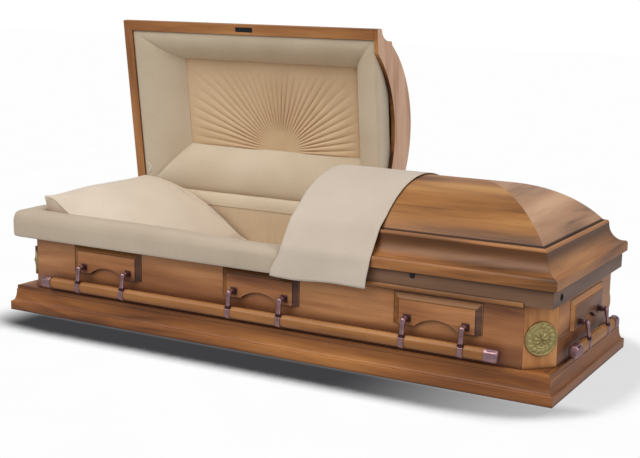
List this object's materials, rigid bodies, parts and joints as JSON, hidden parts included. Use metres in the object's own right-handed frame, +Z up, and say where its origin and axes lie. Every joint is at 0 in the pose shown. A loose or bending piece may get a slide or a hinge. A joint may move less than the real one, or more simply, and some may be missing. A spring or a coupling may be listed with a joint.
{
  "type": "wooden coffin",
  "caption": "Half-couch wooden casket: moulded base, canted corners, raised panels and swing bars, padded interior, hinged head and foot lids with a domed top.",
  "frame": {"origin": "middle of the base's underside", "axes": "+X towards the foot end, +Y towards the hinge side, +Z up"},
  "size_m": [2.17, 0.9677, 1.0684],
  "materials": {
    "casket_wood": "satin lacquer, brown grain",
    "bar_wood": "satin lacquer, golden brown; its arms and caps are antique copper",
    "medallion_brass": "aged, matt",
    "blackened_steel": "black",
    "cream_crepe": "crinkled crepe"
  },
  "bodies": {
    "shell": {"base_moulding_front": "casket_wood", "base_moulding_rear": "casket_wood", "base_moulding_head": "casket_wood", "base_moulding_foot": "casket_wood", "bottom_board": "casket_wood", "bed_board": "casket_wood", "side_board_front": "casket_wood", "side_board_rear": "casket_wood", "end_board_head": "casket_wood", "end_board_foot": "casket_wood", "corner_post_front_foot": "casket_wood", "corner_post_rear_foot": "casket_wood", "corner_post_rear_head": "casket_wood", "corner_post_front_head": "casket_wood", "top_rail_front": "casket_wood", "top_rail_rear": "casket_wood", "top_rail_head": "casket_wood", "top_rail_foot": "casket_wood", "rail_bead_front": "casket_wood", "rail_bead_rear": "casket_wood", "raised_panel_front_head": "casket_wood", "raised_panel_front_middle": "casket_wood", "raised_panel_front_foot": "casket_wood", "raised_panel_rear_head": "casket_wood", "raised_panel_rear_middle": "casket_wood", "raised_panel_rear_foot": "casket_wood", "raised_panel_head": "casket_wood", "raised_panel_foot": "casket_wood", "medallion_front_foot": "medallion_brass", "medallion_rear_foot": "medallion_brass", "medallion_rear_head": "medallion_brass", "medallion_front_head": "medallion_brass", "lid_catch": "blackened_steel", "side_lining": "cream_crepe", "mattress": "cream_crepe", "pillow": "cream_crepe", "extendover_front": "cream_crepe", "extendover_rear": "cream_crepe"},
    "head_lid": {"head_lid_moulding_front": "casket_wood", "head_lid_moulding_rear": "casket_wood", "head_lid_moulding_end": "casket_wood", "head_lid_crown": "casket_wood", "head_lid_header": "casket_wood", "head_lid_latch": "blackened_steel", "head_lid_lining": "cream_crepe"},
    "foot_lid": {"foot_lid_moulding_front": "casket_wood", "foot_lid_moulding_rear": "casket_wood", "foot_lid_moulding_end": "casket_wood", "foot_lid_crown": "casket_wood", "foot_lid_header": "casket_wood", "overthrow": "cream_crepe"},
    "front_bar": {"swing_bar_front": "bar_wood"},
    "rear_bar": {"swing_bar_rear": "bar_wood"},
    "head_bar": {"swing_bar_head": "bar_wood"},
    "foot_bar": {"swing_bar_foot": "bar_wood"}
  },
  "joints": [
    {"name": "head_lid_hinge", "type": "hinge", "parent": "shell", "child": "head_lid", "pos_m": [0, 0.3565, 0.3456], "axis": [1, 0, 0], "range_deg": [0, 83], "deforming": ["pillow", "extendover_front", "extendover_rear"]},
    {"name": "foot_lid_hinge", "type": "hinge", "parent": "shell", "child": "foot_lid", "pos_m": [0, 0.3565, 0.3456], "axis": [1, 0, 0], "range_deg": [-83, 0]},
    {"name": "front_bar_swing", "type": "hinge", "parent": "shell", "child": "front_bar", "pos_m": [0, -0.369, 0.198], "axis": [1, 0, 0], "range_deg": [-85, 0]},
    {"name": "rear_bar_swing", "type": "hinge", "parent": "shell", "child": "rear_bar", "pos_m": [0, 0.369, 0.198], "axis": [1, 0, 0], "range_deg": [0, 85]},
    {"name": "foot_bar_swing", "type": "hinge", "parent": "shell", "child": "foot_bar", "pos_m": [1.054, 0, 0.198], "axis": [0, 1, 0], "range_deg": [-85, 0]},
    {"name": "head_bar_swing", "type": "hinge", "parent": "shell", "child": "head_bar", "pos_m": [-1.054, 0, 0.198], "axis": [0, 1, 0], "range_deg": [0, 85]}
  ]
}
